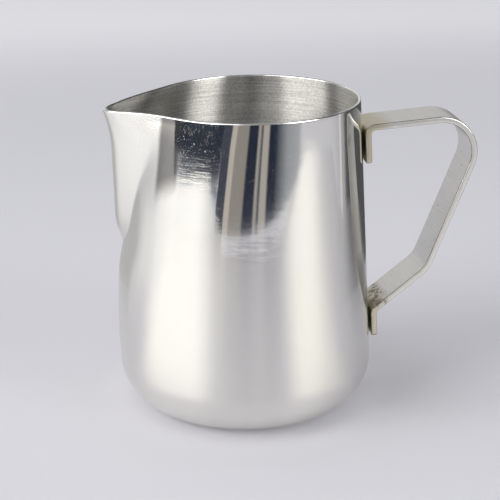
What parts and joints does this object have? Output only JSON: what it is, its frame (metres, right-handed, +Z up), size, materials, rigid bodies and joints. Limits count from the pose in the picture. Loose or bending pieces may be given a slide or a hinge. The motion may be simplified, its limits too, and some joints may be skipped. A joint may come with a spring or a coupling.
{
  "type": "milk frothing pitcher",
  "caption": "Stainless steel milk frothing pitcher: a tapered cup with a rounded base, a pressed V spout and a bent strap handle.",
  "frame": {"origin": "centre of the flat base, on the cup's axis, where the pitcher stands", "axes": "+Z up along the cup's axis, +X towards the handle, the spout towards -X, the XZ plane is the plane of symmetry"},
  "size_m": [0.1294, 0.0898, 0.1097],
  "materials": {
    "polished_steel": "polished stainless steel outside with fine lathe-polishing lines, circumferentially brushed inside",
    "strap_steel": "satin stainless strip with bright polished edges",
    "weld_steel": "dull spot-welded steel"
  },
  "bodies": {
    "root": {"pitcher_body": "polished_steel", "strap_handle": "strap_steel", "upper_weld_1": "weld_steel", "upper_weld_2": "weld_steel", "lower_weld_1": "weld_steel", "lower_weld_2": "weld_steel"}
  },
  "joints": []
}
